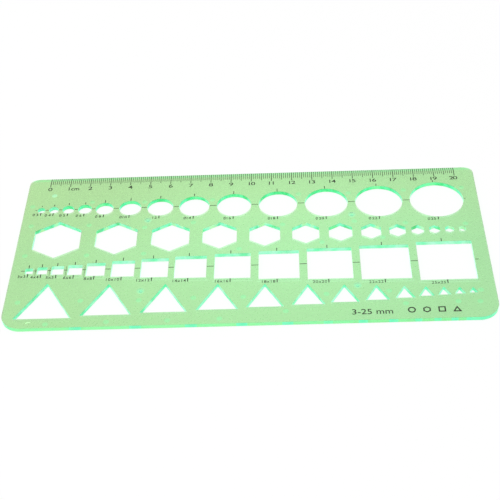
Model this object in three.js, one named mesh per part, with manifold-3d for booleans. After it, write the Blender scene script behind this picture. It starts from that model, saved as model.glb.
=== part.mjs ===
// A see-through plastic drafting template: one moulded plate with four rows of graded holes and a
// centimetre scale printed along a bevelled edge. Millimetres, +X along the scale, +Y towards the
// scale edge, +Z up from the paper. The origin is under the middle of the plate.
import * as THREE from "three";
import { mergeVertices } from "three/addons/utils/BufferGeometryUtils.js";
import Module from "manifold-3d";

// Plate
const PLATE_LENGTH = 220;
const PLATE_DEPTH = 105;
const PLATE_THICKNESS = 2;
const BACK_CORNER_RADIUS = 5;
const FRONT_CORNER_RADIUS = 9;
const CORNER_SEGMENTS = 6;

// Bevel along the scale edge
const BEVEL_WIDTH = 2.7;
const BEVEL_DROP = 0.6;

// Holes: the sizes that they draw, and the room that the pencil line takes along every wall
const HOLE_SIZES = [3, 4, 5, 6, 8, 10, 12, 14, 16, 18, 20, 22, 25];
const PENCIL_ROOM = 0.3;
const CIRCLE_SEGMENTS = 24;

// Webs between drawn sizes, each used from the hole size beside it upwards
const WEB_FROM_SIZES = [3, 8, 14, 18, 20];
const RISING_ROW_WEBS = [2.6, 3.6, 4.3, 4.3, 4.3];
const HEXAGON_ROW_WEBS = [2.45, 3.35, 4.3, 4.3, 4.75];
const TRIANGLE_ROW_WEBS = [2.45, 3.35, 4.3, 4.75, 4.75];

// Rows: the smallest hole's centre from its end of the plate, the least margin past the last hole,
// and each row's centre line from the scale edge
const RISING_ROW_START = 8.4;
const FALLING_ROW_START = 10.1;
const ROW_END_MARGIN = 5;
const CIRCLE_ROW = 24.7;
const HEXAGON_ROW = 46.55;
const SQUARE_ROW = 68.05;
const TRIANGLE_ROW = 88.1;

// Ejector marks: shallow round dimples, one of them under the scale's zero. Each of the others stands
// beside a hole and is listed with that hole's size and its place from the hole's middle
const DIMPLE_DIAMETER = 2.6;
const DIMPLE_DEPTH = 0.2;
const DIMPLE_SEGMENTS = 6;
const ZERO_DIMPLE_FROM_EDGE = 13.8;
const ZERO_DIMPLE_PAST_ZERO = 2.9;
const CIRCLE_DIMPLES = [
  [3, -4.7, 2.9],
  [6, 3.2, 5.1],
  [10, 6.7, 4.1],
  [14, 8.7, 4.3],
  [18, 10, 6.8],
  [20, 10.9, 6.5],
  [22, 12.4, 7.6],
  [25, 12.8, 8.3],
];
const HEXAGON_DIMPLES = [
  [3, 1.9, 3.4],
  [6, -5.3, 5.2],
  [8, -7.2, -4.7],
  [10, -7.5, 7.3],
  [12, -8.9, -7],
  [14, -10.8, 6.4],
  [16, -12, -10.1],
  [18, -12.8, 9.7],
  [20, -12.7, 7],
  [20, -11.9, -11.6],
  [22, -13.9, 9.7],
  [22, -12.9, -11.7],
  [25, -13.7, 10.2],
  [25, -13.7, -11],
];
const TRIANGLE_DIMPLES = [
  [3, 3.3, 0],
  [3, 2.1, -7.2],
  [4, -1.5, -6.9],
  [8, -0.2, -7.4],
  [8, -7, 0.8],
  [12, -8.2, -0.2],
  [14, -10.1, -10.3],
  [16, -9.6, -0.6],
  [18, 1.3, -13.9],
  [18, -10.7, -0.4],
  [20, 2.1, -14.2],
  [20, -11.4, -1.1],
  [22, 0.9, -14.2],
  [22, -12, -0.4],
  [25, 2.2, -14.8],
  [25, -12.1, -0.6],
];

// Gate marks: four wider round pits that each keep a stub of the sprue
const GATE_DIAMETER = 3.6;
const GATE_DEPTH = 0.3;
const GATE_STUB_DIAMETER = 1.4;
const GATE_STUB_HEIGHT = 0.2;
const GATE_SPREAD = 97.7;
const GATE_ROWS = [34.3, 83.2];

// Print
const INK_THICKNESS = 0.05;
const INK_FROM_EDGE = 0.1;
const INK_FROM_HOLE = 0.2;
const LINE_WIDTH = 0.34;
const SCALE_ZERO = 10.6;
const SCALE_END_MARGIN = 9;
const CENTIMETRE = 10;
const CENTIMETRE_MARK_LENGTH = 7;
const CIRCLE_END_DASH_LENGTH = 0.9;
const SQUARE_END_DASH_LENGTH = 1.6;

const LEFT = -PLATE_LENGTH / 2;
const RIGHT = PLATE_LENGTH / 2;
const BACK = PLATE_DEPTH / 2;
const FRONT = -PLATE_DEPTH / 2;
// Cutters run past the faces that they cut by this much
const PAST = 1;

const wasm = await Module();
wasm.setup();

const plastic = new THREE.MeshStandardMaterial({
  name: "green_plastic",
  color: 0xb0e6a9,
  roughness: 0.15,
  metalness: 0,
});
const ink = new THREE.MeshStandardMaterial({
  name: "print_ink",
  color: 0x2c3322,
  roughness: 0.6,
  metalness: 0,
});

function solidOf(geometry) {
  geometry.deleteAttribute("normal");
  geometry.deleteAttribute("uv");
  const merged = mergeVertices(geometry, 1e-4);
  const vertProperties = new Float32Array(merged.attributes.position.array);
  const triVerts = new Uint32Array(merged.index.array);
  return new wasm.Manifold(new wasm.Mesh({ numProp: 3, vertProperties, triVerts }));
}

function geometryOf(solid) {
  const mesh = solid.getMesh();
  const geometry = new THREE.BufferGeometry();
  geometry.setAttribute("position", new THREE.BufferAttribute(mesh.vertProperties, 3));
  geometry.setIndex(new THREE.BufferAttribute(mesh.triVerts, 1));
  geometry.computeVertexNormals();
  return geometry;
}

// A flat shape raised from one height to another
function slab(shape, low, high, curveSegments = 1) {
  const geometry = new THREE.ExtrudeGeometry(shape, {
    depth: high - low,
    bevelEnabled: false,
    curveSegments,
  });
  return geometry.translate(0, 0, low);
}

function plateOutline() {
  const back = BACK_CORNER_RADIUS;
  const front = FRONT_CORNER_RADIUS;
  const quarter = Math.PI / 2;
  const outline = new THREE.Shape();
  outline.absarc(RIGHT - front, FRONT + front, front, -quarter, 0);
  outline.absarc(RIGHT - back, BACK - back, back, 0, quarter);
  outline.absarc(LEFT + back, BACK - back, back, quarter, 2 * quarter);
  outline.absarc(LEFT + front, FRONT + front, front, 2 * quarter, 3 * quarter);
  return outline;
}

function disc(x, y, radius) {
  return new THREE.Shape().absarc(x, y, radius, 0, 2 * Math.PI);
}

// A polygon whose walls all lie at one distance from its middle
function regularPolygon(x, y, sides, wallDistance, firstCornerAngle) {
  const cornerDistance = wallDistance / Math.cos(Math.PI / sides);
  const corners = [];
  for (let i = 0; i < sides; i += 1) {
    const angle = firstCornerAngle + (2 * Math.PI * i) / sides;
    const along = x + cornerDistance * Math.cos(angle);
    const across = y + cornerDistance * Math.sin(angle);
    corners.push(new THREE.Vector2(along, across));
  }
  return new THREE.Shape(corners);
}

// Holes: each is the drawn figure grown by the pencil's room along every wall

function circleHole(hole) {
  return disc(hole.x, hole.y, hole.size / 2 + PENCIL_ROOM);
}

// A hexagon's size is measured across its corners, and a corner points at the scale
function hexagonHole(hole) {
  const wall = (hole.size / 2) * Math.cos(Math.PI / 6) + PENCIL_ROOM;
  return regularPolygon(hole.x, hole.y, 6, wall, Math.PI / 2);
}

function squareHole(hole) {
  return regularPolygon(hole.x, hole.y, 4, hole.size / 2 + PENCIL_ROOM, Math.PI / 4);
}

// A triangle's size is its side. It points at the scale, and its row lines up at half its height
function triangleHole(hole) {
  const inscribed = hole.size / (2 * Math.sqrt(3));
  const middle = hole.y - inscribed / 2;
  return regularPolygon(hole.x, middle, 3, inscribed + PENCIL_ROOM, Math.PI / 2);
}

function webBeside(size, webs) {
  let web = webs[0];
  WEB_FROM_SIZES.forEach((from, i) => {
    if (size >= from) web = webs[i];
  });
  return web;
}

// The holes of one row from its smallest, with the web that follows each. A row has the sizes that
// its plate is long enough for
function holeRow(start, direction, webs, fromScaleEdge) {
  const y = BACK - fromScaleEdge;
  const end = PLATE_LENGTH / 2 - ROW_END_MARGIN;
  const row = [];
  let x = start;
  HOLE_SIZES.forEach((size, i) => {
    const web = webBeside(size, webs);
    if (direction * x + size / 2 <= end) row.push({ x, y, size, web });
    const next = HOLE_SIZES[i + 1] ?? 0;
    x += direction * (size / 2 + web + next / 2);
  });
  return row;
}

const risingStart = LEFT + RISING_ROW_START;
const fallingStart = RIGHT - FALLING_ROW_START;
const circles = holeRow(risingStart, 1, RISING_ROW_WEBS, CIRCLE_ROW);
const hexagons = holeRow(fallingStart, -1, HEXAGON_ROW_WEBS, HEXAGON_ROW);
const squares = holeRow(risingStart, 1, RISING_ROW_WEBS, SQUARE_ROW);
const triangles = holeRow(fallingStart, -1, TRIANGLE_ROW_WEBS, TRIANGLE_ROW);

const holeShapes = [
  ...circles.map(circleHole),
  ...hexagons.map(hexagonHole),
  ...squares.map(squareHole),
  ...triangles.map(triangleHole),
];

// Ejector marks stand where the moulding needs a push to leave its mould
function dimplesBeside(row, dimples) {
  return row.flatMap((hole) => {
    const beside = dimples.filter(([size]) => size === hole.size);
    return beside.map(([, along, across]) => [hole.x + along, hole.y + across]);
  });
}

function dimplePlaces() {
  return [
    [LEFT + SCALE_ZERO + ZERO_DIMPLE_PAST_ZERO, BACK - ZERO_DIMPLE_FROM_EDGE],
    ...dimplesBeside(circles, CIRCLE_DIMPLES),
    ...dimplesBeside(hexagons, HEXAGON_DIMPLES),
    ...dimplesBeside(triangles, TRIANGLE_DIMPLES),
  ];
}

function gatePlaces() {
  return GATE_ROWS.flatMap((row) => [
    [-GATE_SPREAD / 2, BACK - row],
    [GATE_SPREAD / 2, BACK - row],
  ]);
}

// The wedge that the bevel takes off the scale edge, along the whole plate
function bevelWedge() {
  const top = PLATE_THICKNESS;
  const slope = BEVEL_DROP / BEVEL_WIDTH;
  const wedge = new THREE.Shape();
  wedge.moveTo(BACK - BEVEL_WIDTH, top);
  wedge.lineTo(BACK + PAST, top - BEVEL_DROP - slope * PAST);
  wedge.lineTo(BACK + PAST, top + PAST);
  wedge.lineTo(BACK - BEVEL_WIDTH, top + PAST);
  return alongScale(slab(wedge, LEFT - PAST, RIGHT + PAST));
}

// Turns a shape drawn as a section, across the plate and up, so that its depth runs along the scale
function alongScale(geometry) {
  const across = new THREE.Vector3(0, 1, 0);
  const up = new THREE.Vector3(0, 0, 1);
  const along = new THREE.Vector3(1, 0, 0);
  return geometry.applyMatrix4(new THREE.Matrix4().makeBasis(across, up, along));
}

function plateSolid() {
  const top = PLATE_THICKNESS;
  let plate = solidOf(slab(plateOutline(), 0, top, CORNER_SEGMENTS));
  plate = plate.subtract(solidOf(bevelWedge()));
  for (const [x, y] of dimplePlaces()) {
    const dimple = disc(x, y, DIMPLE_DIAMETER / 2);
    plate = plate.subtract(solidOf(slab(dimple, top - DIMPLE_DEPTH, top + PAST, DIMPLE_SEGMENTS)));
  }
  for (const [x, y] of gatePlaces()) {
    const floor = top - GATE_DEPTH;
    const gate = solidOf(slab(disc(x, y, GATE_DIAMETER / 2), floor, top + PAST, DIMPLE_SEGMENTS));
    const stubDisc = disc(x, y, GATE_STUB_DIAMETER / 2);
    const stub = solidOf(slab(stubDisc, floor - PAST, floor + GATE_STUB_HEIGHT, DIMPLE_SEGMENTS));
    plate = plate.subtract(gate.subtract(stub));
  }
  for (const shape of holeShapes) {
    plate = plate.subtract(solidOf(slab(shape, -PAST, top + PAST, CIRCLE_SEGMENTS)));
  }
  return plate;
}

// Ink lines of the scale, which run over the bevel and on to the flat

function scaleLine(x, length) {
  const top = PLATE_THICKNESS;
  const slope = BEVEL_DROP / BEVEL_WIDTH;
  const crease = BACK - BEVEL_WIDTH;
  const outer = BACK - INK_FROM_EDGE;
  const inner = BACK - length;
  const outerHeight = top - slope * (outer - crease);
  const section = new THREE.Shape();
  section.moveTo(inner, top);
  section.lineTo(crease, top);
  section.lineTo(outer, outerHeight);
  section.lineTo(outer, outerHeight + INK_THICKNESS);
  section.lineTo(crease, top + INK_THICKNESS);
  section.lineTo(inner, top + INK_THICKNESS);
  return alongScale(slab(section, x - LINE_WIDTH / 2, x + LINE_WIDTH / 2));
}

// Centre-line dashes: one in each web of a row, and one past each of its ends
function rowDashes(row, endLength) {
  const wall = PENCIL_ROOM + INK_FROM_HOLE;
  const first = row[0];
  const last = row[row.length - 1];
  const firstEdge = first.x - first.size / 2 - wall;
  const lastEdge = last.x + last.size / 2 + wall;
  const webs = row.slice(0, -1).map((hole) => {
    const x = hole.x + hole.size / 2 + hole.web / 2;
    return { x, y: hole.y, length: hole.web - 2 * wall };
  });
  return [
    { x: firstEdge - endLength / 2, y: first.y, length: endLength },
    ...webs,
    { x: lastEdge + endLength / 2, y: last.y, length: endLength },
  ];
}

const template = new THREE.Group();

function addPiece(name, geometry, material) {
  const piece = new THREE.Mesh(geometry, material);
  piece.name = name;
  template.add(piece);
  return piece;
}

function numbered(name, number) {
  return `${name}_${String(number).padStart(2, "0")}`;
}

addPiece("template_plate", geometryOf(plateSolid()), plastic);

// The scale has as many whole centimetres as its plate is long enough for
const scaleLength = PLATE_LENGTH - SCALE_ZERO - SCALE_END_MARGIN;
for (let i = 0; i * CENTIMETRE <= scaleLength; i += 1) {
  const line = scaleLine(LEFT + SCALE_ZERO + i * CENTIMETRE, CENTIMETRE_MARK_LENGTH);
  addPiece(numbered("centimetre_mark", i), line, ink);
}

const dashRows = {
  circle_row_dash: rowDashes(circles, CIRCLE_END_DASH_LENGTH),
  square_row_dash: rowDashes(squares, SQUARE_END_DASH_LENGTH),
};
for (const [name, dashes] of Object.entries(dashRows)) {
  dashes.forEach((dash, i) => {
    const line = new THREE.BoxGeometry(dash.length, LINE_WIDTH, INK_THICKNESS);
    const piece = addPiece(numbered(name, i), line, ink);
    piece.position.set(dash.x, dash.y, PLATE_THICKNESS + INK_THICKNESS / 2);
  });
}

export default template;
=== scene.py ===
import math

import bmesh
import bpy
from mathutils import Matrix, Vector


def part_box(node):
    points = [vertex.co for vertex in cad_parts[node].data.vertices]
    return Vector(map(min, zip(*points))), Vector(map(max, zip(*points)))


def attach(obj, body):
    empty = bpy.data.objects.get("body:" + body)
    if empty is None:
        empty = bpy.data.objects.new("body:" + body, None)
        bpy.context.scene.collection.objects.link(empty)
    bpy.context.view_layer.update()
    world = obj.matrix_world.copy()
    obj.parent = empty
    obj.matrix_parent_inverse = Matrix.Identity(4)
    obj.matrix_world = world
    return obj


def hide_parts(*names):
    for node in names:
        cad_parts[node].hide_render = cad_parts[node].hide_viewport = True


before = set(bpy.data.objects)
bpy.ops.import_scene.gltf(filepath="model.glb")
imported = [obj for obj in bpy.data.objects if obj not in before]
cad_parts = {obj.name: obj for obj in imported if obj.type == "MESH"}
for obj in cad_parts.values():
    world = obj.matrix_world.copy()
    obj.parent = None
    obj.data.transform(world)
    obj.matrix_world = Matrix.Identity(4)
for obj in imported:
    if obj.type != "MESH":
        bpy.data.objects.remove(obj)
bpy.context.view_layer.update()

# The plate: one injection moulding in see-through green plastic, 2 mm thick, with a bevelled scale edge.
# Four rows of graded holes go right through it. Each hole is the drawn figure plus room for a pencil.
# All meshes below are drawn in millimetres and brought to metres at the end.

plate_low, plate_high = [[1000 * side for side in corner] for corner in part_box("template_plate")]
left, front, _ = plate_low
right, back, _ = plate_high
top = 2.0
hole_sizes = [3, 4, 5, 6, 8, 10, 12, 14, 16, 18, 20, 22, 25]
web_steps = (8, 14, 18, 20)
pencil_room = 0.3
edge_round = 0.06


def hole_row(start, direction, webs):
    """Gives (x, size, web) for each hole of a row, smallest first; the web after it grows with it."""
    row = []
    x = start
    for size, larger in zip(hole_sizes, hole_sizes[1:] + [0]):
        web = webs[sum(size >= step for step in web_steps)]
        row.append((x, size, web))
        x += direction * (size / 2 + web + larger / 2)
    return row


rising_start = left + 8.4
falling_start = right - 10.1
rising_row = hole_row(rising_start, 1, (2.6, 3.6, 4.3, 4.3, 4.3))
hexagon_row = hole_row(falling_start, -1, (2.45, 3.35, 4.3, 4.3, 4.75))
triangle_row = hole_row(falling_start, -1, (2.45, 3.35, 4.3, 4.75, 4.75))
circle_y = back - 24.7
hexagon_y = back - 46.55
square_y = back - 68.05
triangle_y = back - 88.1


def ring(mesh, place, sides, wall, turn=0.0, corner=0.0):
    """A closed ring of edges whose sides lie at the wall distance, with rounded corners if asked."""
    before = set(mesh.edges)
    turned = Matrix.Translation(place) @ Matrix.Rotation(turn, 4, "Z")
    reach = wall / math.cos(math.pi / sides)
    made = bmesh.ops.create_circle(mesh, segments=sides, radius=reach, matrix=turned)
    if corner:
        bmesh.ops.bevel(mesh, geom=made["verts"], offset=corner, offset_type="OFFSET", segments=3,
                        profile=0.5, affect="VERTICES", material=-1)
    return [edge for edge in mesh.edges if edge not in before]


def draw_wall(mesh, edges, middle, reach, profile, finish):
    """Draws a ring through (offset, height) steps about a middle point, and gives its last ring."""
    across, along = reach
    offset, height = profile[0]
    for next_offset, next_height in profile[1:]:
        made = bmesh.ops.extrude_edge_only(mesh, edges=edges)["geom"]
        edges = [part for part in made if isinstance(part, bmesh.types.BMEdge) and part.is_boundary]
        corners = [part for part in made if isinstance(part, bmesh.types.BMVert)]
        for face in made:
            if isinstance(face, bmesh.types.BMFace):
                face.material_index = finish
        grow = ((across + next_offset) / (across + offset), (along + next_offset) / (along + offset), 1)
        bmesh.ops.scale(mesh, vec=grow, space=Matrix.Translation(-middle), verts=corners)
        bmesh.ops.translate(mesh, vec=(0, 0, next_height - height), verts=corners)
        offset, height = next_offset, next_height
    return edges


# The finishes of the moulding's faces, in the order of the materials that they get
(plain, bevelled, underneath, lit_under, dimpled, glinting, gated, stubbed,
 square_walled, hexagon_walled, slant_walled, round_walled, rimmed, web_lit) = range(14)

# A wall from the underside up, with both its edges rounded
skin = top + 0.01
soft = edge_round * 0.3
hole_profile = [(edge_round, 0), (soft, soft), (0, edge_round),
                (0, skin - edge_round), (soft, skin - soft), (edge_round, skin)]
rim_profile = [(-offset, height) for offset, height in hole_profile]

plate = bmesh.new()
under_edges = []
top_edges = []

# The webs between the triangles light the front wall a little nearer to its middle than they are.
# The last one lights it up to the corner.
light_spread = 0.3
drawn_in = 0.99
lit_spans = [(drawn_in * (x - size / 2 - web) - light_spread, drawn_in * (x - size / 2) + light_spread)
             for x, size, web in triangle_row[:-1]]
lit_spans[0] = (lit_spans[0][0], right)
lit_steps = sorted(step for span in lit_spans for step in span if step < right)

outline_places = [(left + edge_round, front + edge_round), (right - edge_round, front + edge_round),
                  (right - edge_round, back - edge_round), (left + edge_round, back - edge_round)]
outline_places[1:1] = [(step, front + edge_round) for step in lit_steps]
outline_points = [plate.verts.new((*place, 0)) for place in outline_places]
for one, other in zip(outline_points, outline_points[1:] + outline_points[:1]):
    plate.edges.new((one, other))
front_radius = 9.0
back_radius = 5.0
front_corners = [outline_points[0], outline_points[-3]]
back_corners = outline_points[-2:]
for pair, radius in ((front_corners, front_radius), (back_corners, back_radius)):
    bmesh.ops.bevel(plate, geom=pair, offset=radius, offset_type="OFFSET", segments=14,
                    profile=0.5, affect="VERTICES", material=-1)
outline = list(plate.edges)
under_edges += outline
top_edges += draw_wall(plate, outline, Vector((0, 0, 0)), (right, back), rim_profile, rimmed)


def cut_hole(x, y, sides, wall, finish, turn=0.0, corner=0.0, lit_strip=()):
    """Cuts one hole, with a strip of light under the plate round it if asked."""
    middle = Vector((x, y, 0))
    profile = [*lit_strip, *hole_profile]
    start = profile[0][0]
    start_corner = corner * (wall + start) / (wall + edge_round)
    edges = ring(plate, middle, sides, wall + start, turn, start_corner)
    under_edges.extend(edges)
    if lit_strip:
        edges = draw_wall(plate, edges, middle, (wall, wall), lit_strip, lit_under)
        profile = profile[1:]
    top_edges.extend(draw_wall(plate, edges, middle, (wall, wall), profile, finish))


circle_sides = 96
round_from = 5
square_corner = 0.3
hexagon_corner = 0.25
triangle_corner = 0.4

# Light that falls through a square also shines on the paper a little in front of it.
square_light = [(1.05, 0), (0.4, 0)]
for x, size, _ in rising_row:
    wall = size / 2 + pencil_room
    cut_hole(x, circle_y, circle_sides, wall, round_walled if size >= round_from else slant_walled)
    cut_hole(x, square_y, 4, wall, square_walled,
             turn=math.pi / 4, corner=square_corner, lit_strip=square_light)
for x, size, _ in hexagon_row:
    wall = size / 2 * math.cos(math.pi / 6) + pencil_room
    cut_hole(x, hexagon_y, 6, wall, hexagon_walled, corner=hexagon_corner)
for x, size, _ in triangle_row:
    inscribed = size / (2 * math.sqrt(3))
    wall = inscribed + pencil_room
    cut_hole(x, triangle_y - inscribed / 2, 3, wall, slant_walled, corner=triangle_corner)

# Ejector marks: shallow round dimples that the mould's pins leave in the webs and margins.
# Each is given by the size of the hole that it stands beside and its place from that hole's middle.
dimple_places = []
for row, row_y, dimples in (
        (rising_row, circle_y, (
            (3, -4.7, 2.9), (6, 3.2, 5.1), (10, 6.7, 4.1), (14, 8.7, 4.3),
            (18, 10, 6.8), (20, 10.9, 6.5), (22, 12.4, 7.6), (25, 12.8, 8.3))),
        (hexagon_row, hexagon_y, (
            (3, 1.9, 3.4), (6, -5.3, 5.2), (8, -7.2, -4.7), (10, -7.5, 7.3), (12, -8.9, -7),
            (14, -10.8, 6.4), (16, -12, -10.1), (18, -12.8, 9.7), (20, -12.7, 7), (20, -11.9, -11.6),
            (22, -13.9, 9.7), (22, -12.9, -11.7), (25, -13.7, 10.2), (25, -13.7, -11))),
        (triangle_row, triangle_y, (
            (3, 3.3, 0), (3, 2.1, -7.2), (4, -1.5, -6.9), (8, -0.2, -7.4), (8, -7, 0.8), (12, -8.2, -0.2),
            (14, -10.1, -10.3), (16, -9.6, -0.6), (18, 1.3, -13.9), (18, -10.7, -0.4), (20, 2.1, -14.2),
            (20, -11.4, -1.1), (22, 0.9, -14.2), (22, -12, -0.4), (25, 2.2, -14.8), (25, -12.1, -0.6)))):
    hole_x = {size: x for x, size, _ in row}
    dimple_places += [(hole_x[size] + along, row_y + across) for size, along, across in dimples]


def press_mark(x, y, radius, sides, steps):
    """Sinks a round mark into the top face, through steps of (profile, finish)."""
    middle = Vector((x, y, skin))
    edges = ring(plate, middle, sides, radius)
    top_edges.extend(edges)
    for profile, finish in steps:
        edges = draw_wall(plate, edges, middle, (radius, radius), profile, finish)
    for face in bmesh.ops.edgeloop_fill(plate, edges=edges)["faces"]:
        face.material_index = finish


dimple_radius = 1.3
dimple_sides = 24
dimple_profile = [(0, skin), (-0.12, skin - 0.02), (-0.4, skin - 0.1),
                  (-0.7, skin - 0.18), (-1.0, skin - 0.2)]
for x, y in dimple_places:
    press_mark(x, y, dimple_radius, dimple_sides, [(dimple_profile, dimpled)])

# One mark near the scale's zero carries a brighter painted glint.
glint_mark_x = left + 13.5
glint_mark_y = back - 13.8
press_mark(glint_mark_x, glint_mark_y, dimple_radius, dimple_sides, [(dimple_profile, glinting)])

# Gate marks: four wider pits where the plastic came in, each with the broken stub of its sprue.
gate_radius = 1.8
gate_sides = 32
gate_x = 48.85
gates_from_back = (34.3, 83.2)
gate_profile = [(0, skin), (-0.15, skin - 0.04), (-0.4, skin - 0.2),
                (-0.65, skin - 0.28), (-0.9, skin - 0.3)]
stub_profile = [(-0.9, skin - 0.3), (-1.05, skin - 0.25), (-1.15, skin - 0.14), (-1.25, skin - 0.1)]
gate_steps = [(gate_profile, gated), (stub_profile, stubbed)]
for x in (-gate_x, gate_x):
    for from_back in gates_from_back:
        press_mark(x, back - from_back, gate_radius, gate_sides, gate_steps)

for edges, normal in ((under_edges, (0, 0, -1)), (top_edges, (0, 0, 1))):
    bmesh.ops.triangle_fill(plate, use_beauty=True, use_dissolve=False, edges=edges, normal=normal)
bmesh.ops.recalc_face_normals(plate, faces=plate.faces)

# The bevel thins the scale edge, so that its lines lie close to the paper.
bevel_width = 2.7
bevel_drop = 0.6
crease = back - bevel_width
bevel_slope = bevel_drop / bevel_width


def lay_on_bevel(mesh):
    """Folds what lies on the top face down on to the bevel along the scale edge."""
    everything = list(mesh.verts) + list(mesh.edges) + list(mesh.faces)
    bmesh.ops.bisect_plane(mesh, geom=everything, dist=1e-5,
                           plane_co=(0, crease, 0), plane_no=(0, 1, 0))
    for corner in mesh.verts:
        if corner.co.y > crease and corner.co.z > top / 2:
            corner.co.z -= bevel_slope * (corner.co.y - crease)


lay_on_bevel(plate)

# Only the upright part of a wall glows, and the strips of light lie only in front of their squares.
# A face is flat or upright by the height of its normal.
flat_from = 0.9
upright_to = 0.3
square_front = square_y - 1
sharp_angle = math.radians(15)
for face in plate.faces:
    level = abs(face.normal.z)
    middle = face.calc_center_median()
    if face.material_index == lit_under and middle.y > square_front:
        face.material_index = plain
    if face.material_index >= square_walled and level > upright_to:
        face.material_index = plain
    if face.material_index == plain and face.normal.z > flat_from and middle.y > crease:
        face.material_index = bevelled
    if face.material_index == plain and face.normal.z < -flat_from:
        face.material_index = underneath
    if face.material_index == rimmed and face.normal.y < -flat_from:
        if any(low < middle.x < high for low, high in lit_spans):
            face.material_index = web_lit
    face.smooth = level < flat_from or dimpled <= face.material_index <= stubbed
for edge in plate.edges:
    edge.smooth = len(edge.link_faces) == 2 and edge.calc_face_angle(3.0) < sharp_angle


def finished_piece(name, mesh, materials):
    """Brings a drawn mesh to metres, and makes it a piece of the part that rides on its one body."""
    bmesh.ops.scale(mesh, vec=(0.001, 0.001, 0.001), verts=mesh.verts)
    data = bpy.data.meshes.new(name)
    mesh.to_mesh(data)
    mesh.free()
    for material in materials:
        data.materials.append(material)
    piece = bpy.data.objects.new(name, data)
    bpy.context.collection.objects.link(piece)
    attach(piece, "root")
    return piece


def shader_group(name, inputs, outputs):
    """A new group of shader nodes with named sockets, each given as (name, kind)."""
    group = bpy.data.node_groups.new(name, "ShaderNodeTree")
    for direction, sockets in (("INPUT", inputs), ("OUTPUT", outputs)):
        for socket, kind in sockets:
            group.interface.new_socket(socket, in_out=direction, socket_type="NodeSocket" + kind)
    return group, group.nodes.new("NodeGroupInput"), group.nodes.new("NodeGroupOutput")


def mix_colours(nodes, links, factor, first, second):
    """Mixes two colours, each given as a colour or as a socket, and gives the socket of the result."""
    mix = nodes.new("ShaderNodeMix")
    mix.data_type = "RGBA"
    for name, value in (("Factor", factor), ("A", first), ("B", second)):
        if isinstance(value, tuple):
            mix.inputs[name].default_value = (*value, 1)
        else:
            links.new(value, mix.inputs[name])
    return mix.outputs["Result"]


# The plastic is paler towards its middle, with faint streaks, and a fine haze breaks up its gloss.
# Its cast is yellower at the back and on the left, and bluer on the right.
plastic_flow, flow_in, flow_out = shader_group(
    "plastic_flow", (("Pale Tint", "Color"), ("Deep Tint", "Color"), ("Roughness", "Float")),
    (("Tint", "Color"), ("Roughness", "Float")))
nodes = plastic_flow.nodes
links = plastic_flow.links
place = nodes.new("ShaderNodeTexCoord")
spread = nodes.new("ShaderNodeMapping")
spread.inputs["Location"].default_value = (-0.12, 0.0, 0.0)
spread.inputs["Scale"].default_value = (9.0, 12.0, 0.0)
links.new(place.outputs["Object"], spread.inputs["Vector"])
from_middle = nodes.new("ShaderNodeVectorMath")
from_middle.operation = "LENGTH"
links.new(spread.outputs["Vector"], from_middle.inputs[0])
streaks = nodes.new("ShaderNodeTexNoise")
streaks.inputs["Scale"].default_value = 14.0
streaks.inputs["Detail"].default_value = 2.0
links.new(place.outputs["Object"], streaks.inputs["Vector"])
streaked = nodes.new("ShaderNodeMath")
streaked.operation = "MULTIPLY_ADD"
streaked.inputs[1].default_value = 0.6
links.new(streaks.outputs["Fac"], streaked.inputs[0])
links.new(from_middle.outputs["Value"], streaked.inputs[2])
depth = nodes.new("ShaderNodeMapRange")
depth.inputs["From Min"].default_value = 0.5
depth.inputs["From Max"].default_value = 1.3
links.new(streaked.outputs["Value"], depth.inputs["Value"])
pale_middle_tint = mix_colours(nodes, links, depth.outputs["Result"],
                          flow_in.outputs["Pale Tint"], flow_in.outputs["Deep Tint"])
spot = nodes.new("ShaderNodeSeparateXYZ")
links.new(place.outputs["Object"], spot.inputs["Vector"])
yellowing = nodes.new("ShaderNodeMath")
yellow_shares = (("X", -0.11, 0.11, 0.54, 0.16), ("Y", 0.0, 0.04, 0.0, 0.3))
for i, (axis, near, far, low, high) in enumerate(yellow_shares):
    share = nodes.new("ShaderNodeMapRange")
    for socket, value in (("From Min", near), ("From Max", far), ("To Min", low), ("To Max", high)):
        share.inputs[socket].default_value = value
    links.new(spot.outputs[axis], share.inputs["Value"])
    links.new(share.outputs["Result"], yellowing.inputs[i])
cast = mix_colours(nodes, links, yellowing.outputs["Value"], (0.91, 1.0, 1.04), (1.13, 1.0, 0.95))
tinted = nodes.new("ShaderNodeVectorMath")
tinted.operation = "MULTIPLY"
links.new(pale_middle_tint, tinted.inputs[0])
links.new(cast, tinted.inputs[1])
links.new(tinted.outputs["Vector"], flow_out.inputs["Tint"])
haze = nodes.new("ShaderNodeTexNoise")
haze.inputs["Scale"].default_value = 900.0
links.new(place.outputs["Object"], haze.inputs["Vector"])
hazed = nodes.new("ShaderNodeMapRange")
hazed.inputs["To Min"].default_value = 0.6
hazed.inputs["To Max"].default_value = 1.4
links.new(haze.outputs["Fac"], hazed.inputs["Value"])
gloss = nodes.new("ShaderNodeMath")
gloss.operation = "MULTIPLY"
links.new(hazed.outputs["Result"], gloss.inputs[0])
links.new(flow_in.outputs["Roughness"], gloss.inputs[1])
links.new(gloss.outputs["Value"], flow_out.inputs["Roughness"])


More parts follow.
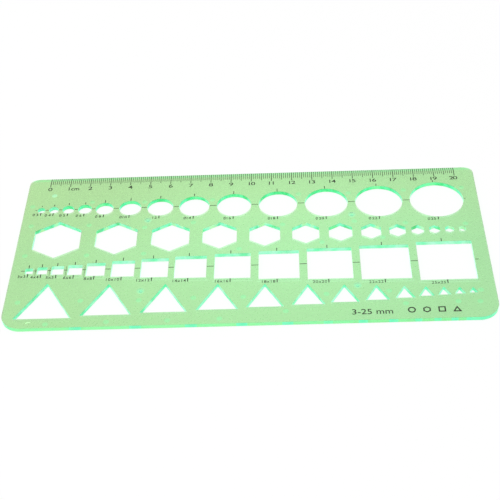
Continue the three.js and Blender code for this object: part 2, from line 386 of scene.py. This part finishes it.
def see_through_plastic(name, pale_tint, deep_tint, roughness, gleam=None):
    """Clear tinted plastic; a gleam is the light that a face sends up by itself."""
    material = bpy.data.materials.new(name)
    material.use_nodes = True
    nodes = material.node_tree.nodes
    links = material.node_tree.links
    shader = nodes["Principled BSDF"]
    shader.inputs["IOR"].default_value = 1.5
    shader.inputs["Transmission Weight"].default_value = 1.0
    flow = nodes.new("ShaderNodeGroup")
    flow.node_tree = plastic_flow
    flow.inputs["Pale Tint"].default_value = (*pale_tint, 1)
    flow.inputs["Deep Tint"].default_value = (*deep_tint, 1)
    flow.inputs["Roughness"].default_value = roughness
    links.new(flow.outputs["Tint"], shader.inputs["Base Color"])
    links.new(flow.outputs["Roughness"], shader.inputs["Roughness"])
    if gleam:
        shader.inputs["Emission Color"].default_value = (*gleam, 1)
        shader.inputs["Emission Strength"].default_value = 1.0
    return material


face_tints = ((0.505, 0.965, 0.465), (0.465, 0.845, 0.40))
glossy = 0.06
wall_gloss = 0.08
matt = 0.30
plate_face = see_through_plastic("plate_face", *face_tints, glossy)
# The bevel's brighter green is painted light: a lighter copy of the plate's plastic for the slope.
bevel_face = see_through_plastic("bevel_face", (0.33, 1.0, 0.40), (0.29, 1.0, 0.36), glossy)
under_face = see_through_plastic("under_face", *face_tints, matt)
lit_under_face = see_through_plastic("lit_under_face", *face_tints, matt, (0.06, 0.085, 0.10))
# The dimples are painted paler than the plate, with a faint painted glow.
dimple_face = see_through_plastic("dimple_face", (0.345, 1.0, 0.47), (0.315, 0.96, 0.41), 0.15,
                                  (0.018, 0.065, 0.03))
# A painted glint: this mark is paler and glows brighter than the other dimples.
glinting_dimple_face = see_through_plastic("glinting_dimple_face", (0.46, 1.0, 0.58), (0.44, 1.0, 0.56), 0.10,
                                    (0.065, 0.165, 0.135))
# The gate pits are painted paler, with a faint painted glow; the stubs are darker, with a stronger
# painted glow where light is lost in them.
gate_face = see_through_plastic("gate_face", (0.42, 1.0, 0.48), (0.39, 0.96, 0.42), 0.20,
                                (0.015, 0.08, 0.07))
stub_face = see_through_plastic("stub_face", (0.12, 0.50, 0.24), (0.11, 0.48, 0.22), 0.25,
                                (0.10, 0.34, 0.22))

# The light that the plate carries along leaves it at its walls, in patches of three greens.
wall_glow, glow_in, glow_out = shader_group(
    "wall_glow", (("Deep", "Color"), ("Middle", "Color"), ("Pale", "Color")), (("Glow", "Color"),))
nodes = wall_glow.nodes
links = wall_glow.links
place = nodes.new("ShaderNodeTexCoord")
patches = nodes.new("ShaderNodeTexNoise")
patches.inputs["Scale"].default_value = 240.0
links.new(place.outputs["Object"], patches.inputs["Vector"])
glow = glow_in.outputs["Deep"]
for start, brighter in ((0.36, "Middle"), (0.5, "Pale")):
    step = nodes.new("ShaderNodeMapRange")
    step.inputs["From Min"].default_value = start
    step.inputs["From Max"].default_value = start + 0.14
    links.new(patches.outputs["Fac"], step.inputs["Value"])
    glow = mix_colours(nodes, links, step.outputs["Result"], glow, glow_in.outputs[brighter])
links.new(glow, glow_out.inputs["Glow"])

# A wall's painted glow and gleam change their green as it turns from facing left, by way of the front or
# back, to facing right.
green_names = ("Left", "Half Left", "Straight", "Half Right", "Right")
green_facings = (-1.0, -0.46, 0.0, 0.46, 1.0)
turned_green, turn_in, turn_out = shader_group(
    "turned_green", [(name, "Color") for name in green_names], (("Green", "Color"),))
nodes = turned_green.nodes
links = turned_green.links
side = nodes.new("ShaderNodeNewGeometry")
facing = nodes.new("ShaderNodeSeparateXYZ")
links.new(side.outputs["Normal"], facing.inputs["Vector"])
green = turn_in.outputs["Left"]
for name, before, after in zip(green_names[1:], green_facings, green_facings[1:]):
    turn = nodes.new("ShaderNodeMapRange")
    turn.inputs["From Min"].default_value = before
    turn.inputs["From Max"].default_value = after
    links.new(facing.outputs["X"], turn.inputs["Value"])
    green = mix_colours(nodes, links, turn.outputs["Result"], green, turn_in.outputs[name])
links.new(green, turn_out.inputs["Green"])


def turned_colour(nodes, greens):
    """Places the turning green in a material, with its own five colours."""
    turned = nodes.new("ShaderNodeGroup")
    turned.node_tree = turned_green
    for socket, green in zip(turned.inputs, greens):
        socket.default_value = (*green, 1)
    return turned.outputs["Green"]


side_gleam = (0.30, 0.10, 0.32)
slant_gleam = (0.19, 0.15, 0.27)
straight_gleam = (0.0, 0.0, 0.03)
inner_gleams = (side_gleam, slant_gleam, straight_gleam, slant_gleam, side_gleam)


def lit_wall(name, glows, outer_tint):
    """A wall that glows outwards in patches of three greens; a green given as five turns with it.
    Seen from inside, it is clear but for a gleam."""
    material = see_through_plastic(name, *face_tints, wall_gloss)
    nodes = material.node_tree.nodes
    links = material.node_tree.links
    shader = nodes["Principled BSDF"]
    inner_tint = shader.inputs["Base Color"].links[0].from_socket
    patched = nodes.new("ShaderNodeGroup")
    patched.node_tree = wall_glow
    for socket, glow in zip(patched.inputs, glows):
        if len(glow) == 3:
            socket.default_value = (*glow, 1)
            continue
        links.new(turned_colour(nodes, glow), socket)
    inside = nodes.new("ShaderNodeNewGeometry").outputs["Backfacing"]
    gleam = turned_colour(nodes, inner_gleams)
    glow = mix_colours(nodes, links, inside, patched.outputs["Glow"], gleam)
    links.new(glow, shader.inputs["Emission Color"])
    shader.inputs["Emission Strength"].default_value = 1.0
    links.new(mix_colours(nodes, links, inside, outer_tint, inner_tint), shader.inputs["Base Color"])
    return material


# From outside the walls let little light through, so that their painted glow shows in place of the
# plastic seen through them.
hole_tint = (0.03, 0.10, 0.07)
round_tint = (0.02, 0.08, 0.04)
rim_tint = (0.02, 0.06, 0.04)
square_wall = lit_wall("square_wall", (
    (0.11, 0.80, 0.33), (0.21, 0.84, 0.44), (0.33, 0.84, 0.51)), hole_tint)
hexagon_wall = lit_wall("hexagon_wall", (
    (0.04, 0.62, 0.14), (0.10, 0.83, 0.42), (0.36, 0.83, 0.34)), hole_tint)
slant_wall = lit_wall("slant_wall", (
    (0.06, 0.74, 0.27), (0.13, 0.82, 0.41), (0.27, 0.84, 0.46)), hole_tint)
round_greens = ((0.09, 0.88, 0.47), (0.065, 0.86, 0.34), (0.06, 0.82, 0.25),
                (0.06, 0.86, 0.34), (0.04, 0.88, 0.43))
round_wall = lit_wall("round_wall", ((0.01, 0.70, 0.17), round_greens, (0.15, 0.86, 0.30)), round_tint)
rim_greens = ((0.11, 0.86, 0.46), (0.18, 0.84, 0.31), (0.22, 0.77, 0.265),
              (0.14, 0.82, 0.39), (0.11, 0.86, 0.44))
rim_wall = lit_wall("rim_wall", (rim_greens, rim_greens, (0.19, 0.77, 0.28)), rim_tint)
web_wall = lit_wall("web_wall", (
    (0.12, 0.87, 0.46), (0.14, 0.87, 0.44), (0.16, 0.87, 0.40)), rim_tint)

moulding = finished_piece("plate_moulding", plate, [
    plate_face, bevel_face, under_face, lit_under_face,
    dimple_face, glinting_dimple_face, gate_face, stub_face,
    square_wall, hexagon_wall, slant_wall, round_wall, rim_wall, web_wall])
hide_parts("template_plate")

# A hairline curl in front of the largest triangle, such as a nick in the mould leaves.
# It is part of the same plastic, and stands up only as far as a layer of ink.

curl_x = left + 12.8
curl_y = front + 2.3
curl_reaches = (1.12, 1.42)
curl_height = 0.05
curl_start = math.radians(157)
curl_sweep = math.radians(102)


def raise_faces(mesh, height):
    """Gives the flat faces of a mesh their thickness, upwards."""
    made = bmesh.ops.extrude_face_region(mesh, geom=list(mesh.faces))["geom"]
    corners = [part for part in made if isinstance(part, bmesh.types.BMVert)]
    bmesh.ops.translate(mesh, vec=(0, 0, height), verts=corners)
    bmesh.ops.recalc_face_normals(mesh, faces=mesh.faces)


curl = bmesh.new()
ends = []
for reach in curl_reaches:
    x = curl_x + reach * math.cos(curl_start)
    y = curl_y + reach * math.sin(curl_start)
    ends.append(curl.verts.new((x, y, top)))
bmesh.ops.spin(curl, geom=ends + [curl.edges.new(ends)], cent=(curl_x, curl_y, top), axis=(0, 0, -1),
               angle=curl_sweep, steps=14, use_duplicate=False)
raise_faces(curl, curl_height)
# The curl's pale green and glow are a painted highlight along it.
curl_glint_face = see_through_plastic("curl_glint_face", (0.8, 1.0, 0.8), (0.8, 1.0, 0.8), 0.2, (0.23, 0.33, 0.23))
finished_piece("mould_curl", curl, [curl_glint_face])

# The scale: centimetre lines that the frame brings, and shorter ones at half centimetres and millimetres.
# It is printed in dark ink on the top face, over the bevel, so that the lines meet the very edge.

ink_height = 0.05
ink_end = back - 0.1
scale_zero = left + 10.6
ink_grain, grain_in, grain_out = shader_group(
    "ink_grain", (("Full", "Color"), ("Thin", "Color")), (("Colour", "Color"),))
place = ink_grain.nodes.new("ShaderNodeTexCoord")
specks = ink_grain.nodes.new("ShaderNodeTexNoise")
specks.inputs["Scale"].default_value = 2500.0
ink_grain.links.new(place.outputs["Object"], specks.inputs["Vector"])
grained = mix_colours(ink_grain.nodes, ink_grain.links, specks.outputs["Fac"],
                      grain_in.outputs["Full"], grain_in.outputs["Thin"])
ink_grain.links.new(grained, grain_out.inputs["Colour"])


def printing_ink(name, full, thin):
    """Dull ink whose cover changes from speck to speck."""
    material = bpy.data.materials.new(name)
    material.use_nodes = True
    nodes = material.node_tree.nodes
    shader = nodes["Principled BSDF"]
    grain = nodes.new("ShaderNodeGroup")
    grain.node_tree = ink_grain
    grain.inputs["Full"].default_value = (*full, 1)
    grain.inputs["Thin"].default_value = (*thin, 1)
    material.node_tree.links.new(grain.outputs["Colour"], shader.inputs["Base Color"])
    shader.inputs["Roughness"].default_value = 0.6
    return material


print_ink = printing_ink("print_ink_dark", (0.010, 0.014, 0.008), (0.035, 0.045, 0.025))
dash_ink = printing_ink("print_ink_thin", (0.045, 0.060, 0.035), (0.085, 0.100, 0.065))
for name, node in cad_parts.items():
    if name != "template_plate":
        node.data.materials.clear()
        node.data.materials.append(dash_ink if "dash" in name else print_ink)


def ink_line(mesh, low, high):
    """A flat printed line between two corners of the top face."""
    middle = ((low[0] + high[0]) / 2, (low[1] + high[1]) / 2, top + ink_height / 2)
    size = (high[0] - low[0], high[1] - low[1], ink_height)
    placed = Matrix.Translation(middle) @ Matrix.Diagonal((*size, 1))
    bmesh.ops.create_cube(mesh, size=1, matrix=placed)


for name, length, width, steps in (
        ("millimetre_marks", 5.1, 0.24, [step for step in range(201) if step % 5]),
        ("half_centimetre_marks", 6.1, 0.28, range(5, 200, 10))):
    marks = bmesh.new()
    for step in steps:
        x = scale_zero + step
        ink_line(marks, (x - width / 2, back - length), (x + width / 2, ink_end))
    lay_on_bevel(marks)
    finished_piece(name, marks, [print_ink])

# The scale's numbers: one under each centimetre line, with the unit after the 1.
# They are pad-printed in the same ink as the lines.


def letter(mesh, words, x, baseline, size, align="CENTER", spacing=1.0, stretch=1.0, weight=0.02):
    """Adds a label to a mesh, as a thin raised layer of ink on the top face, and gives its left end."""
    text = bpy.data.curves.new("label", "FONT")
    text.body = words
    text.size = size
    text.align_x = align
    text.space_character = spacing
    text.resolution_u = 4
    text.offset = weight
    text.extrude = ink_height / 2
    holder = bpy.data.objects.new("label", text)
    bpy.context.collection.objects.link(holder)
    shown = holder.evaluated_get(bpy.context.evaluated_depsgraph_get())
    data = bpy.data.meshes.new_from_object(shown)
    bpy.data.objects.remove(holder)
    data.transform(Matrix.Translation((x, baseline, top + ink_height / 2))
                   @ Matrix.Diagonal((stretch, 1, 1, 1)))
    mesh.from_mesh(data)
    left_end = min(corner.co.x for corner in data.vertices)
    bpy.data.meshes.remove(data)
    return left_end


def printed_piece(name, mesh):
    """Joins the faces of a mesh's letters, turns them outwards, and makes them a piece."""
    bmesh.ops.remove_doubles(mesh, verts=mesh.verts, dist=1e-4)
    bmesh.ops.recalc_face_normals(mesh, faces=mesh.faces)
    finished_piece(name, mesh, [print_ink])


numbers = bmesh.new()
number_line = back - 9.95
for centimetre in range(21):
    x = scale_zero + 10 * centimetre
    if centimetre == 1:
        letter(numbers, "1cm", x - 1.4, number_line, 3.6, "LEFT", weight=0.035)
    else:
        shift = 0.07 * (10 - centimetre) if centimetre > 9 else 0.1
        letter(numbers, str(centimetre), x + shift, number_line, 3.5,
               spacing=0.8, stretch=1.35, weight=0.01)
printed_piece("scale_numbers", numbers)

# Centre ticks and sizes of the circles and squares: a tick above and below each hole, near its middle.
# The size that the hole draws is printed beside the lower tick, with a sign for all but one circle.
# The print stands a little to the left of the holes' middles.

digit_size = 2.4
unsigned_size = 12
upper_half = 0.18
lower_half = 0.22
for row_name, row_y in (("circle", circle_y), ("square", square_y)):
    ticks = bmesh.new()
    sizes = bmesh.new()
    for hole_middle, size, _ in rising_row:
        wall = size / 2 + pencil_room
        low = row_y - wall
        high = row_y + wall
        if row_name == "circle":
            x = hole_middle - 0.003 * (hole_middle - left)
            line = low - 2.3
            digits_end = letter(sizes, str(size), x - 1.0, line, digit_size, "RIGHT", spacing=1.1)
            if size != unsigned_size:
                gap = 0.35 if size > 9 else 0.6
                letter(sizes, "Ø", digits_end - gap, line, digit_size, "RIGHT", stretch=0.66)
            upper_tick = {3: (0.9, 1.6), 4: (0.5, 1.8), 5: (0.6, 2.1), 6: (0.5, 1.8),
                          22: (0.2, 1.6), 25: (0.2, 1.6)}.get(size, (0.2, 2.1))
            lower_tick = (0.1, 2.1)
        else:
            x = hole_middle - (0.9 if size > 10 else 0.3)
            weight = 0.0 if size > 18 else 0.02
            line = low - 2.65
            words = f"{size}x{size}"
            letter(sizes, words, x - 0.75, line, digit_size, "RIGHT", spacing=1.12, weight=weight)
            upper_tick = (0.1, 2.1)
            lower_tick = (0.2, 2.5)
        ink_line(ticks, (x - upper_half, high + upper_tick[0]), (x + upper_half, high + upper_tick[1]))
        ink_line(ticks, (x - lower_half, low - lower_tick[1]), (x + lower_half, low - lower_tick[0]))
    finished_piece(row_name + "_centre_ticks", ticks, [print_ink])
    printed_piece(row_name + "_sizes", sizes)

# Front corner print: the four figures of the template in outline, and the range of sizes that it draws.
# They are printed in the same ink, larger and bolder than the sizes beside the holes.

first_figure = scale_zero + 171
figure_step = 6.6
figure_y = back - 99.6
triangle_drop = 0.55
figure_line = 0.6
figures = bmesh.new()
outlines = ((40, 0.0, 1.75), (6, 0.0, 1.9), (4, math.pi / 4, 2.3), (3, 0.0, 2.3))
for i, (sides, turn, reach) in enumerate(outlines):
    drop = triangle_drop if sides == 3 else 0
    place = (first_figure + figure_step * i, figure_y - drop, top)
    turned = Matrix.Translation(place) @ Matrix.Rotation(turn, 4, "Z")
    bmesh.ops.create_circle(figures, cap_ends=True, segments=sides, radius=reach, matrix=turned)
middles = list(figures.faces)
bmesh.ops.inset_individual(figures, faces=middles, thickness=figure_line, use_even_offset=True)
bmesh.ops.delete(figures, geom=middles, context="FACES")
raise_faces(figures, ink_height)
finished_piece("figure_symbols", figures, [print_ink])

range_x = scale_zero + 153.8
range_line = back - 101.6
size_range = bmesh.new()
letter(size_range, "3-25 mm", range_x, range_line, 4.6, stretch=1.1)
printed_piece("size_range", size_range)

# The studio: a plain white floor, a white sky and one soft lamp overhead.
# The floor keeps the plate's shadow. Floor and sky show white to the camera and through the plastic.

floor_level = -0.0002
floor_mesh = bmesh.new()
bmesh.ops.create_grid(floor_mesh, x_segments=1, y_segments=1, size=3,
                      matrix=Matrix.Translation((0, 0, floor_level)))
floor_data = bpy.data.meshes.new("floor")
floor_mesh.to_mesh(floor_data)
floor_mesh.free()
floor = bpy.data.objects.new("floor", floor_data)
bpy.context.collection.objects.link(floor)

floor_white = bpy.data.materials.new("floor_white")
floor_white.use_nodes = True
nodes = floor_white.node_tree.nodes
links = floor_white.node_tree.links
nodes.remove(nodes["Principled BSDF"])
rays = nodes.new("ShaderNodeLightPath")
seen = nodes.new("ShaderNodeMath")
seen.operation = "MAXIMUM"
links.new(rays.outputs["Is Camera Ray"], seen.inputs[0])
links.new(rays.outputs["Is Glossy Ray"], seen.inputs[1])
shown = nodes.new("ShaderNodeMath")
shown.operation = "MAXIMUM"
links.new(seen.outputs[0], shown.inputs[0])
links.new(rays.outputs["Is Transmission Ray"], shown.inputs[1])
paper = nodes.new("ShaderNodeBsdfDiffuse")
paper.inputs["Color"].default_value = (0.8, 0.8, 0.8, 1)
shadow = nodes.new("ShaderNodeBsdfDiffuse")
shadow.inputs["Color"].default_value = (0.1, 0.1, 0.1, 1)
white = nodes.new("ShaderNodeEmission")
white.inputs["Strength"].default_value = 0.91
backdrop = nodes.new("ShaderNodeAddShader")
links.new(white.outputs[0], backdrop.inputs[0])
links.new(shadow.outputs[0], backdrop.inputs[1])
either = nodes.new("ShaderNodeMixShader")
links.new(shown.outputs[0], either.inputs["Fac"])
links.new(paper.outputs[0], either.inputs[1])
links.new(backdrop.outputs[0], either.inputs[2])
links.new(either.outputs[0], nodes["Material Output"].inputs["Surface"])
floor_data.materials.append(floor_white)

world = bpy.data.worlds.new("studio_sky")
bpy.context.scene.world = world
world.use_nodes = True
sky = world.node_tree.nodes["Background"]
sky.inputs["Color"].default_value = (1, 1, 1, 1)
sky_rays = world.node_tree.nodes.new("ShaderNodeLightPath")
sky_level = world.node_tree.nodes.new("ShaderNodeMapRange")
sky_level.inputs["To Min"].default_value = 0.75
sky_level.inputs["To Max"].default_value = 1.0
world.node_tree.links.new(sky_rays.outputs["Is Camera Ray"], sky_level.inputs["Value"])
world.node_tree.links.new(sky_level.outputs["Result"], sky.inputs["Strength"])

lamp_data = bpy.data.lights.new("soft_lamp", "AREA")
lamp_data.size = 0.8
lamp_data.energy = 2.5
lamp = bpy.data.objects.new("soft_lamp", lamp_data)
lamp.location = (-0.45, -0.25, 0.9)
lamp.rotation_euler = (-lamp.location).to_track_quat("-Z", "Y").to_euler()
bpy.context.collection.objects.link(lamp)

# The camera stands in front of the plate, a little to the right of its middle, and looks down at it.
# Its lens and place were found from the printed scale, which is 20 cm long.

camera_data = bpy.data.cameras.new("camera")
camera_data.sensor_width = 36
camera_data.lens = 88.92
camera = bpy.data.objects.new("camera", camera_data)
camera.matrix_world = Matrix((
    (0.99900, 0.02751, 0.03520, 0.02058),
    (0.00771, 0.66993, -0.74239, -0.43125),
    (-0.04401, 0.74192, 0.66904, 0.38599),
    (0, 0, 0, 1)))
bpy.context.collection.objects.link(camera)
bpy.context.scene.camera = camera
bpy.context.scene.view_settings.view_transform = "Standard"
